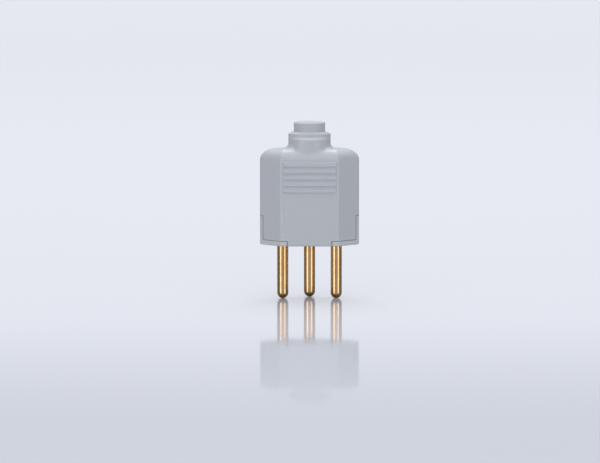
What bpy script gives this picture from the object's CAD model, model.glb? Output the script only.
import math

import bmesh
import bpy
from mathutils import Matrix, Vector


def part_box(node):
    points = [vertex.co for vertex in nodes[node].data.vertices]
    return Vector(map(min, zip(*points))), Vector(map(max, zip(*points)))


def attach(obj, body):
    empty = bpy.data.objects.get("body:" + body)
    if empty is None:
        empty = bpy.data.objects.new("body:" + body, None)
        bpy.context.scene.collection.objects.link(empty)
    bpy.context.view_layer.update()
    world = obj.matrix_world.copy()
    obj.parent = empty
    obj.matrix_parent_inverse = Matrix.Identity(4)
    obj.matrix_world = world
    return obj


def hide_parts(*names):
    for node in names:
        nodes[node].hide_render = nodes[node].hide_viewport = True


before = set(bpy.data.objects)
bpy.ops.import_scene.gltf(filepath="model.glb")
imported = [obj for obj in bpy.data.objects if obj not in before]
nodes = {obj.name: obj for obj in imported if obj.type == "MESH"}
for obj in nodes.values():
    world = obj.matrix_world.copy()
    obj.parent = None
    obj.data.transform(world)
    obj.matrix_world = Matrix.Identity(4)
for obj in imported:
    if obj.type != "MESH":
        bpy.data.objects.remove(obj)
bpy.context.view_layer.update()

mm = 0.001


# Colours are written as sRGB hex and turned to linear here
def linear(hexColour):
    channels = [int(hexColour[i:i + 2], 16) / 255 for i in (1, 3, 5)]
    curve = [c / 12.92 if c <= 0.04045 else ((c + 0.055) / 1.055) ** 2.4 for c in channels]
    return (*curve, 1.0)


# Adds one node with its settings; inputs go by name (spaces as _) or by number (i0, i1 ...)
def addNode(tree, kind, settings=None, **inputs):
    node = tree.nodes.new(kind)
    for key, value in (settings or {}).items():
        setattr(node, key, value)
    for key, value in inputs.items():
        byNumber = key[0] == "i" and key[1:].isdigit()
        socket = node.inputs[int(key[1:]) if byNumber else key.replace("_", " ")]
        if isinstance(value, bpy.types.NodeSocket):
            tree.links.new(value, socket)
        else:
            socket.default_value = value
    return node


# Settings that several nodes share, and the span in which most values of a noise lie
colourMix = dict(data_type="RGBA")
multiply = dict(operation="MULTIPLY")
smooth = dict(interpolation_type="SMOOTHSTEP")
noiseLow, noiseHigh = 0.3, 0.7


# A new material holds a principled shader and the object's own coordinates, in metres
def newMaterial(name):
    material = bpy.data.materials.new(name)
    material.use_nodes = True
    tree = material.node_tree
    tree.nodes.clear()
    output = addNode(tree, "ShaderNodeOutputMaterial")
    shader = addNode(tree, "ShaderNodeBsdfPrincipled")
    tree.links.new(shader.outputs[0], output.inputs[0])
    place = addNode(tree, "ShaderNodeTexCoord").outputs["Object"]
    return material, tree, shader, place


# Camera: a long lens, a little above the plug and aimed at its lower half. The shift is in
# widths of the picture.
cameraPlace = dict(
    distance=1.4, height=0.1655, aimHeight=0.0238, lens=237.7, sensor=36, shiftX=-9.5 / 600,
    farthest=20,
)

cameraData = bpy.data.cameras.new("camera")
camera = bpy.data.objects.new("camera", cameraData)
bpy.context.scene.collection.objects.link(camera)
camera.location = (0, -cameraPlace["distance"], cameraPlace["height"])
aim = Vector((0, 0, cameraPlace["aimHeight"])) - camera.location
camera.rotation_euler = aim.to_track_quat("-Z", "Y").to_euler()
cameraData.lens = cameraPlace["lens"]
cameraData.sensor_width = cameraPlace["sensor"]
cameraData.shift_x = cameraPlace["shiftX"]
cameraData.clip_end = cameraPlace["farthest"]
bpy.context.scene.camera = camera
print("camera set")


# Housing plastic: light grey ABS, injection moulded in a spark-eroded tool. The erosion leaves a
# fine pebbled skin that softens the gloss. The melt cools unevenly, so the tone drifts a little
# over a centimetre or so, and the broad faces sink by about two hundredths of a millimetre. The
# two shells come from two shots, and the rear one is a shade lighter and warmer.
absLook = dict(
    colour="#bcc0c4", drift="#b8bcc1", driftSize=11.0, roughness=0.30, roughnessSpread=0.05,
    pebbleSize=0.30, pebbleHeight=0.010, sinkSize=8.0, sinkHeight=0.02, specular=0.5, ior=1.5,
)

rearAbsLook = dict(absLook, colour="#c3c5c7", drift="#bfc1c4")


def mouldedPlastic(name, look):
    material, tree, shader, place = newMaterial(name)
    drift = addNode(
        tree, "ShaderNodeTexNoise", Vector=place, Scale=1 / (look["driftSize"] * mm), Detail=2.0,
    )
    tone = addNode(
        tree, "ShaderNodeMix", colourMix,
        Factor=drift.outputs["Fac"], i6=linear(look["colour"]), i7=linear(look["drift"]),
    )
    tree.links.new(tone.outputs[2], shader.inputs["Base Color"])
    pebble = addNode(
        tree, "ShaderNodeTexNoise",
        Vector=place, Scale=1 / (look["pebbleSize"] * mm), Detail=3.0, Roughness=0.6,
    )
    sheen = addNode(
        tree, "ShaderNodeMapRange",
        Value=pebble.outputs["Fac"], From_Min=noiseLow, From_Max=noiseHigh,
        To_Min=look["roughness"] - look["roughnessSpread"],
        To_Max=look["roughness"] + look["roughnessSpread"],
    )
    tree.links.new(sheen.outputs[0], shader.inputs["Roughness"])
    sink = addNode(
        tree, "ShaderNodeTexNoise", Vector=place, Scale=1 / (look["sinkSize"] * mm), Detail=1.0,
    )
    sunk = addNode(
        tree, "ShaderNodeBump", Height=sink.outputs["Fac"], Distance=look["sinkHeight"] * mm,
    )
    skin = addNode(
        tree, "ShaderNodeBump",
        Height=pebble.outputs["Fac"], Distance=look["pebbleHeight"] * mm, Normal=sunk.outputs[0],
    )
    tree.links.new(skin.outputs[0], shader.inputs["Normal"])
    shader.inputs["Specular IOR Level"].default_value = look["specular"]
    shader.inputs["IOR"].default_value = look["ior"]
    return material


# Sleeve: soft PVC, moulded in a bead-blasted tool. It is a shade duller than the housing, and its
# gloss breaks up in larger soft spots.
softPvcLook = dict(
    absLook, colour="#bbbcc0", drift="#b5b7bc", roughness=0.45, pebbleSize=0.45,
    pebbleHeight=0.014, specular=0.4, ior=1.53,
)

# Clamp bar: glass-filled nylon, natural grey. Short fibres at the skin make it flecked and duller.
nylonLook = dict(
    absLook, colour="#a7abb1", drift="#9a9ea5", driftSize=1.6, roughness=0.5, pebbleSize=0.2,
    pebbleHeight=0.015, specular=0.45, ior=1.53,
)

# Pins: free-cutting brass, turned and tumbled. The tool leaves fine rings round the bar, so the
# bright streaks stay sharp along its length and blur a little round it. Handling leaves faint
# warmer patches. The rings are drawn wider than the real feed of 0.05 mm, so that they can show.
pinBrassLook = dict(
    colour="#edc795", patch="#d8a868", patchSize=5.0, patchFrom=0.5, patchTo=0.8,
    roughness=0.17, roughnessSpread=0.05, lineSize=0.16, lineHeight=0.0012, lineStretch=0.02,
)


# The pattern of lines is stretched in X and Y alone, so that they run round an upright bar. A
# look with a recess is darkened where there are faces within that many millimetres.
def toolMarkedMetal(name, look):
    material, tree, shader, place = newMaterial(name)
    patch = addNode(
        tree, "ShaderNodeTexNoise", Vector=place, Scale=1 / (look["patchSize"] * mm), Detail=4.0,
    )
    level = addNode(
        tree, "ShaderNodeMapRange",
        Value=patch.outputs["Fac"], From_Min=look["patchFrom"], From_Max=look["patchTo"],
    )
    tone = addNode(
        tree, "ShaderNodeMix", colourMix,
        Factor=level.outputs[0], i6=linear(look["colour"]), i7=linear(look["patch"]),
    )
    if "recess" in look:
        openness = addNode(tree, "ShaderNodeAmbientOcclusion", Distance=look["recess"] * mm)
        shut = addNode(
            tree, "ShaderNodeMapRange",
            Value=openness.outputs["AO"], From_Min=look["stillOpen"], From_Max=look["fullyShut"],
        )
        tone = addNode(
            tree, "ShaderNodeMix", colourMix,
            Factor=shut.outputs[0], i6=tone.outputs[2], i7=linear(look["recessTone"]),
        )
    tree.links.new(tone.outputs[2], shader.inputs["Base Color"])
    stretched = addNode(
        tree, "ShaderNodeVectorMath", multiply,
        i0=place, i1=(look["lineStretch"], look["lineStretch"], 1.0),
    )
    lines = addNode(
        tree, "ShaderNodeTexNoise",
        Vector=stretched.outputs[0], Scale=1 / (look["lineSize"] * mm), Detail=2.0,
    )
    sheen = addNode(
        tree, "ShaderNodeMapRange",
        Value=patch.outputs["Fac"], From_Min=noiseLow, From_Max=noiseHigh,
        To_Min=look["roughness"] - look["roughnessSpread"],
        To_Max=look["roughness"] + look["roughnessSpread"],
    )
    tree.links.new(sheen.outputs[0], shader.inputs["Roughness"])
    marks = addNode(
        tree, "ShaderNodeBump", Height=lines.outputs["Fac"], Distance=look["lineHeight"] * mm,
    )
    tree.links.new(marks.outputs[0], shader.inputs["Normal"])
    shader.inputs["Metallic"].default_value = 1.0
    return material


# Wire guards: rolled brass strip, stamped and folded. Rolling leaves a satin face, so it is duller
# and paler than the turned pins.
leafBrassLook = dict(
    pinBrassLook, colour="#dfbd84", patch="#c89f62", roughness=0.32, lineHeight=0.0008,
)

# Screws: steel, cold headed, zinc plated and passivated. The plating is a bluish silver
# with cloudy patches of duller grey. It is thin and dull at the bottom of slots and threads.
zincSteelLook = dict(
    pinBrassLook, colour="#c3c8ce", patch="#9fa5ad", patchSize=1.2, roughness=0.27, lineSize=0.08,
    lineHeight=0.0006, recess=0.9, stillOpen=0.75, fullyShut=0.35, recessTone="#4b4d51",
)

coverAbs = mouldedPlastic("mouldedGreyAbs", absLook)
rearAbs = mouldedPlastic("mouldedGreyAbsRearShell", rearAbsLook)
sleevePvc = mouldedPlastic("mouldedSoftPvc", softPvcLook)
clampNylon = mouldedPlastic("glassFilledNylon", nylonLook)
turnedBrass = toolMarkedMetal("turnedBrass", pinBrassLook)
rolledBrass = toolMarkedMetal("rolledBrass", leafBrassLook)
zincPlatedSteel = toolMarkedMetal("zincPlatedSteel", zincSteelLook)

# What isn't named here is a screw
materialOf = {
    "rear_base": rearAbs, "front_cover": coverAbs,
    "cord_sleeve": sleevePvc, "cord_clamp_bar": clampNylon,
    "line_pin": turnedBrass, "neutral_pin": turnedBrass, "earth_pin": turnedBrass,
    "line_wire_guard": rolledBrass, "neutral_wire_guard": rolledBrass,
    "earth_wire_guard": rolledBrass,
    "case_nut_left": turnedBrass, "case_nut_right": turnedBrass,
}
for name, node in nodes.items():
    node.data.materials.clear()
    node.data.materials.append(materialOf.get(name, zincPlatedSteel))
print("materials set on", len(nodes), "solids")


# Turns a profile of (radius, height) points round Z; sizes are in mm until a piece is placed
def lathe(mesh, profile, segments):
    turns = [2 * math.pi * step / segments for step in range(segments)]
    rings = []
    for radius, height in profile:
        if radius == 0:
            rings.append([mesh.verts.new((0, 0, height))])
            continue
        ring = [(radius * math.cos(turn), radius * math.sin(turn), height) for turn in turns]
        rings.append([mesh.verts.new(point) for point in ring])
    for low, high in zip(rings, rings[1:]):
        for step in range(segments):
            corners = [low[step % len(low)], low[(step + 1) % len(low)]]
            corners += [high[(step + 1) % len(high)], high[step % len(high)]]
            corners = list(dict.fromkeys(corners))
            if len(corners) > 2:
                mesh.faces.new(corners)


# A ridge's half widths at foot and crest are shares of the pitch. Its ends fade over half a turn.
ridgeLook = dict(foot=0.44, crest=0.07, fadeTurns=0.5, lowest=0.02)


# Winds one thread ridge from start to end, which fades out at both ends
def windRidge(mesh, rootRadius, crestRadius, pitch, start, end, segments):
    steps = ((end - start) / pitch - 1) * segments
    fadeTurns = ridgeLook["fadeTurns"]
    rows = []
    for step in range(int(steps) + 1):
        angle = 2 * math.pi * step / segments
        middle = start + pitch / 2 + pitch * step / segments
        fade = min(1, step / segments / fadeTurns, (steps - step) / segments / fadeTurns)
        crest = rootRadius + (crestRadius - rootRadius) * max(ridgeLook["lowest"], fade)
        section = (
            (rootRadius, -ridgeLook["foot"]), (crest, -ridgeLook["crest"]),
            (crest, ridgeLook["crest"]), (rootRadius, ridgeLook["foot"]),
        )
        rows.append([
            mesh.verts.new((
                radius * math.cos(angle), radius * math.sin(angle), middle + offset * pitch,
            ))
            for radius, offset in section
        ])
    for row, nextRow in zip(rows, rows[1:]):
        for a, b in ((0, 1), (1, 2), (2, 3)):
            mesh.faces.new((row[a], nextRow[a], nextRow[b], row[b]))


def objectFrom(mesh, name):
    bmesh.ops.recalc_face_normals(mesh, faces=mesh.faces)
    data = bpy.data.meshes.new(name)
    mesh.to_mesh(data)
    mesh.free()
    made = bpy.data.objects.new(name, data)
    bpy.context.scene.collection.objects.link(made)
    return made


# Cuts or keeps with a second object, then drops it
def carve(target, tool, operation):
    modifier = target.modifiers.new("carve", "BOOLEAN")
    modifier.operation = operation
    modifier.solver = "EXACT"
    modifier.object = tool
    depsgraph = bpy.context.evaluated_depsgraph_get()
    carved = bpy.data.meshes.new_from_object(target.evaluated_get(depsgraph))
    target.modifiers.clear()
    target.data = carved
    bpy.data.objects.remove(tool)


sharpAngle = math.radians(32)


# Sets a finished small piece in its place, in metres, and lets it stand for the plain solid
def seat(piece, nodeName, origin, turn, material):
    piece.data.transform(Matrix.Translation(Vector(origin)) @ turn @ Matrix.Scale(mm, 4))
    for face in piece.data.polygons:
        face.use_smooth = True
    piece.data.set_sharp_from_angle(angle=sharpAngle)
    piece.data.materials.clear()
    piece.data.materials.append(material)
    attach(piece, "root")
    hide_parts(nodeName)


# Slotted screws: cheese head with a rounded rim, a sawn slot, and a rolled thread. The thread's
# depth is a share of the pitch, up to a largest pitch that counts. The last number of a place is
# the way along Y that the screw points.
screwLook = dict(
    segments=40, headRound=0.35, roundSteps=4, slotWidth=0.7, slotDepth=0.7, slotRun=1.4,
    threadDepth=0.61, largestPitch=0.6, threadStart=0.35, threadEnd=0.18, tipChamfer=0.3,
    pointLength=1.2, pointWidth=0.35, shankSink=0.1, ridgeSink=0.02,
)
screwKinds = {
    "terminal": dict(thread=3.0, pitch=0.5, headWidth=4.2, headHeight=1.2, blunt=True),
    "case": dict(thread=3.0, pitch=0.5, headWidth=5.0, headHeight=1.8, blunt=True),
    "clamp": dict(thread=2.5, pitch=1.0, headWidth=4.4, headHeight=1.5, blunt=False),
}
screwPlaces = {
    "line_terminal_screw": ("terminal", 1), "neutral_terminal_screw": ("terminal", 1),
    "earth_terminal_screw": ("terminal", 1),
    "case_screw_left": ("case", -1), "case_screw_right": ("case", -1),
    "cord_clamp_screw_left": ("clamp", 1), "cord_clamp_screw_right": ("clamp", 1),
}


def slottedScrew(nodeName, kind, direction):
    look = screwLook
    low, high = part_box(nodeName)
    headRadius, headHeight = kind["headWidth"] / 2, kind["headHeight"]
    length = (high[1] - low[1]) / mm - headHeight
    root = kind["thread"] / 2 - look["threadDepth"] * min(kind["pitch"], look["largestPitch"])
    bevel, tip = look["headRound"], look["tipChamfer"]
    rim = []
    for step in range(look["roundSteps"] + 1):
        turn = step * math.pi / 2 / look["roundSteps"]
        rim.append((
            headRadius - bevel * (1 - math.cos(turn)), -headHeight + bevel * (1 - math.sin(turn)),
        ))
    mesh = bmesh.new()
    lathe(mesh, [(0, 0), (headRadius, 0), *rim, (0, -headHeight)], look["segments"])
    head = objectFrom(mesh, nodeName + ".threaded")
    # Half of the slot's cutter stands above the head
    mesh = bmesh.new()
    cutter = (look["slotWidth"], kind["headWidth"] * look["slotRun"], look["slotDepth"] * 2, 1)
    onHead = Matrix.Translation((0, 0, -headHeight)) @ Matrix.Diagonal(cutter)
    bmesh.ops.create_cube(mesh, size=1, matrix=onHead)
    carve(head, objectFrom(mesh, "slotCutter"), "DIFFERENCE")
    mesh = bmesh.new()
    mesh.from_mesh(head.data)
    if kind["blunt"]:
        end = [(root, length - tip), (root - tip, length), (0, length)]
    else:
        point = root * look["pointWidth"]
        end = [(root, length - look["pointLength"]), (point, length), (0, length)]
    lathe(mesh, [(0, -look["shankSink"]), (root, -look["shankSink"]), *end], look["segments"])
    windRidge(
        mesh, root - look["ridgeSink"], kind["thread"] / 2, kind["pitch"],
        look["threadStart"], length - look["threadEnd"], look["segments"],
    )
    bmesh.ops.recalc_face_normals(mesh, faces=mesh.faces)
    mesh.to_mesh(head.data)
    mesh.free()
    underHead = low[1] + headHeight * mm if direction > 0 else high[1] - headHeight * mm
    origin = ((low[0] + high[0]) / 2, underHead, (low[2] + high[2]) / 2)
    turn = Matrix.Rotation(math.radians(-90 * direction), 4, "X")
    seat(head, nodeName, origin, turn, zincPlatedSteel)


for nodeName, (kindName, direction) in screwPlaces.items():
    slottedScrew(nodeName, screwKinds[kindName], direction)
print("screws threaded:", len(screwPlaces))


# Hexagon nuts: brass, cut from hexagon bar, corners chamfered on both faces, bore tapped. The
# spares let a blank or a cutter reach past the faces that are cut.
nutLook = dict(
    acrossFlats=5.5, height=2.4, bore=3.0, pitch=0.5, chamfer=0.35, segments=48,
    blankSpare=0.05, hexagonSpare=1, boreSpare=0.5, countersink=0.2,
    threadDepth=0.28, threadInset=0.1, ridgeSink=0.01,
)


def hexagonNut(nodeName):
    look = nutLook
    low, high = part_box(nodeName)
    corner, flat = look["acrossFlats"] / math.sqrt(3), look["acrossFlats"] / 2
    top, rise, blank = look["height"], look["chamfer"], corner + look["blankSpare"]
    mesh = bmesh.new()
    profile = [(0, 0), (flat, 0), (blank, rise), (blank, top - rise), (flat, top), (0, top)]
    lathe(mesh, profile, look["segments"] * 2)
    nut = objectFrom(mesh, nodeName + ".tapped")
    mesh = bmesh.new()
    spare = look["hexagonSpare"]
    lathe(mesh, [(0, -spare), (corner, -spare), (corner, top + spare), (0, top + spare)], 6)
    carve(nut, objectFrom(mesh, "hexagon"), "INTERSECT")
    mesh = bmesh.new()
    bore, spare, sunk = look["bore"] / 2, look["boreSpare"], look["countersink"]
    profile = [
        (0, -spare), (bore + spare, -spare), (bore + sunk, 0), (bore, sunk),
        (bore, top - sunk), (bore + sunk, top), (bore + spare, top + spare), (0, top + spare),
    ]
    lathe(mesh, profile, look["segments"])
    carve(nut, objectFrom(mesh, "boreCutter"), "DIFFERENCE")
    mesh = bmesh.new()
    mesh.from_mesh(nut.data)
    windRidge(
        mesh, bore + look["ridgeSink"], bore - look["threadDepth"], look["pitch"],
        look["threadInset"], top - look["threadInset"], look["segments"],
    )
    mesh.to_mesh(nut.data)
    mesh.free()
    origin = ((low[0] + high[0]) / 2, high[1], (low[2] + high[2]) / 2)
    turn = Matrix.Rotation(math.radians(90), 4, "X")
    seat(nut, nodeName, origin, turn, turnedBrass)


for nodeName in ("case_nut_left", "case_nut_right"):
    hexagonNut(nodeName)
print("nuts tapped")


# Stage: a pale glossy sheet that falls away gently in front of the plug, so that the mirror image
# below the pins comes out shorter than the plug itself. In the plug's metal it shows as a duller
# shade, darkest under the plug, and as a mirror where it is seen edge on.
floorLook = dict(
    reach=3.0, bend=1.85, steepest=0.29, levelAgain=0.65, steps=200, crowding=2.2,
    colour="#c6c9d0", roughness=0.07, ior=1.49, mirror="#f4f4f4", mirrorRoughness=0.05,
    faceOn=0.04, edgeOn=0.5, shadeWidth=0.017, shadeDepth=0.010, shadeFrom=1.0, shadeTo=2.4,
    underPlug="#6e6b67", aroundPlug="#aaa7a2",
)


# The slope grows with the square of the distance to its steepest place and then dies away, so the
# sheet is level again
def floorHeight(y):
    fall = max(0.0, -y)
    bend, steepest, end = floorLook["bend"], floorLook["steepest"], floorLook["levelAgain"]
    near = min(fall, steepest)
    far = min(max(fall - steepest, 0.0), end - steepest)
    return -bend * near ** 3 / 3 - bend * steepest ** 2 * (far - far ** 2 / (2 * (end - steepest)))


mesh = bmesh.new()
reach = floorLook["reach"]
rows = []
for step in range(floorLook["steps"] + 1):
    share = step / floorLook["steps"]
    y = reach - 2 * reach * share
    y = math.copysign(abs(y / reach) ** floorLook["crowding"] * reach, y)
    rows.append([mesh.verts.new((x, y, floorHeight(y))) for x in (-reach, reach)])
for row, nextRow in zip(rows, rows[1:]):
    mesh.faces.new((row[0], nextRow[0], nextRow[1], row[1]))
floor = objectFrom(mesh, "floor")
for face in floor.data.polygons:
    face.use_smooth = True
    if face.normal.z < 0:
        face.flip()

floorMaterial, tree, shader, place = newMaterial("paleGlossyAcrylic")
shader.inputs["Base Color"].default_value = linear(floorLook["colour"])
shader.inputs["Roughness"].default_value = floorLook["roughness"]
shader.inputs["IOR"].default_value = floorLook["ior"]
mirror = addNode(
    tree, "ShaderNodeBsdfGlossy",
    Color=linear(floorLook["mirror"]), Roughness=floorLook["mirrorRoughness"],
)
footprint = (1 / floorLook["shadeWidth"], 1 / floorLook["shadeDepth"], 0)
spread = addNode(tree, "ShaderNodeVectorMath", multiply, i0=place, i1=footprint)
spread = addNode(tree, "ShaderNodeVectorMath", dict(operation="LENGTH"), i0=spread.outputs[0])
away = addNode(
    tree, "ShaderNodeMapRange", smooth,
    Value=spread.outputs["Value"], From_Min=floorLook["shadeFrom"], From_Max=floorLook["shadeTo"],
)
tone = addNode(
    tree, "ShaderNodeMix", colourMix, Factor=away.outputs[0],
    i6=linear(floorLook["underPlug"]), i7=linear(floorLook["aroundPlug"]),
)
shade = addNode(tree, "ShaderNodeBsdfDiffuse", Color=tone.outputs[2])
fresnel = addNode(tree, "ShaderNodeFresnel", IOR=floorLook["ior"])
grazing = addNode(
    tree, "ShaderNodeMapRange",
    Value=fresnel.outputs[0], From_Min=floorLook["faceOn"], From_Max=floorLook["edgeOn"],
)
seenInMetal = addNode(
    tree, "ShaderNodeMixShader", i0=grazing.outputs[0], i1=shade.outputs[0], i2=mirror.outputs[0],
)
glossyRay = addNode(tree, "ShaderNodeLightPath").outputs["Is Glossy Ray"]
sheet = addNode(
    tree, "ShaderNodeMixShader", i0=glossyRay, i1=shader.outputs[0], i2=seenInMetal.outputs[0],
)
tree.links.new(sheet.outputs[0], tree.nodes["Material Output"].inputs[0])
floor.data.materials.append(floorMaterial)

# Room: pale to the eye and in the sheet. Its light comes from above and from the backdrop. Polished
# metal sees it by way of the sheet, where it is dim low down at the sides, as between studio flags.
# Zenith and dome start and end by how high a direction points, the others by how far it points to
# the back, both from -1 to 1.
roomLook = dict(
    seen="#e4e7ed", tint="#f6f8ff", zenith=1.42, upperSides=0.16, upperFront=0.49, low=0.33,
    flags=0.18, camera=0.46, rear=0.9, backdrop=0.95,
    backdropFrom=0.86, backdropTo=0.96, frontFrom=0.3, frontTo=0.9, zenithFrom=0.45,
    zenithTo=0.95, domeFrom=0.10, domeTo=0.42, rearFrom=0.88, rearTo=0.95, cameraFrom=-0.98,
    cameraTo=-0.90, secondBounce=1.5,
)

world = bpy.data.worlds.new("softRoom")
bpy.context.scene.world = world
world.use_nodes = True
tree = world.node_tree
tree.nodes.clear()
towards = addNode(tree, "ShaderNodeTexCoord").outputs["Generated"]
height = addNode(tree, "ShaderNodeSeparateXYZ", i0=towards).outputs[2]
level = addNode(tree, "ShaderNodeVectorMath", multiply, i0=towards, i1=(1, 1, 0))
level = addNode(tree, "ShaderNodeVectorMath", dict(operation="NORMALIZE"), i0=level.outputs[0])
behind = addNode(tree, "ShaderNodeSeparateXYZ", i0=level.outputs[0]).outputs[1]
backdrop = addNode(
    tree, "ShaderNodeMapRange", smooth,
    Value=behind, From_Min=roomLook["backdropFrom"], From_Max=roomLook["backdropTo"],
    To_Min=roomLook["low"], To_Max=roomLook["backdrop"],
)
along = addNode(tree, "ShaderNodeMath", dict(operation="ABSOLUTE"), i0=behind)
upper = addNode(
    tree, "ShaderNodeMapRange", smooth,
    Value=along.outputs[0], From_Min=roomLook["frontFrom"], From_Max=roomLook["frontTo"],
    To_Min=roomLook["upperSides"], To_Max=roomLook["upperFront"],
)
dome = addNode(
    tree, "ShaderNodeMapRange", smooth,
    Value=height, From_Min=roomLook["zenithFrom"], From_Max=roomLook["zenithTo"],
    To_Min=upper.outputs[0], To_Max=roomLook["zenith"],
)
rise = addNode(
    tree, "ShaderNodeMapRange", smooth,
    Value=height, From_Min=roomLook["domeFrom"], From_Max=roomLook["domeTo"],
)
rear = addNode(
    tree, "ShaderNodeMapRange", smooth,
    Value=behind, From_Min=roomLook["rearFrom"], From_Max=roomLook["rearTo"],
    To_Min=roomLook["flags"], To_Max=roomLook["rear"],
)
flags = addNode(
    tree, "ShaderNodeMapRange", smooth,
    Value=behind, From_Min=roomLook["cameraFrom"], From_Max=roomLook["cameraTo"],
    To_Min=roomLook["camera"], To_Max=rear.outputs[0],
)
path = addNode(tree, "ShaderNodeLightPath")
twice = addNode(
    tree, "ShaderNodeMath", dict(operation="GREATER_THAN"),
    i0=path.outputs["Glossy Depth"], i1=roomLook["secondBounce"],
)
low = addNode(
    tree, "ShaderNodeMix", i0=twice.outputs[0], i2=backdrop.outputs[0], i3=flags.outputs[0],
)
strength = addNode(
    tree, "ShaderNodeMix", i0=rise.outputs[0], i2=low.outputs[0], i3=dome.outputs[0],
)
lit = addNode(
    tree, "ShaderNodeBackground", Color=linear(roomLook["tint"]), Strength=strength.outputs[0],
)
seen = addNode(tree, "ShaderNodeBackground", Color=linear(roomLook["seen"]), Strength=1.0)
both = addNode(
    tree, "ShaderNodeMixShader",
    i0=path.outputs["Is Camera Ray"], i1=lit.outputs[0], i2=seen.outputs[0],
)
addNode(tree, "ShaderNodeOutputWorld", i0=both.outputs[0])


# Softboxes: one at each side of the camera, 45 degrees round, a broad dim one over the camera, and
# one above and a little behind, which mostly lights the roof of the housing
softboxes = {
    "leftSoftbox": dict(place=(-1.02, -1.08, 0.30), size=(0.72, 0.70), power=3.1),
    "rightSoftbox": dict(place=(1.02, -1.08, 0.30), size=(0.72, 0.70), power=2.5),
    "frontSoftbox": dict(place=(-0.1, -1.62, 0.9), size=(1.7, 0.9), power=4.85),
    "topSoftbox": dict(place=(0, 0.52, 1.2), size=(0.8, 0.8), power=6.1),
}
lightsAim = Vector((0, 0, 0.03))
for name, box in softboxes.items():
    data = bpy.data.lights.new(name, "AREA")
    data.shape = "RECTANGLE"
    data.size, data.size_y = box["size"]
    data.energy = box["power"]
    light = bpy.data.objects.new(name, data)
    bpy.context.scene.collection.objects.link(light)
    light.location = box["place"]
    light.rotation_euler = (lightsAim - light.location).to_track_quat("-Z", "Y").to_euler()
bpy.context.scene.view_settings.view_transform = "Standard"
print("stage and lights set")
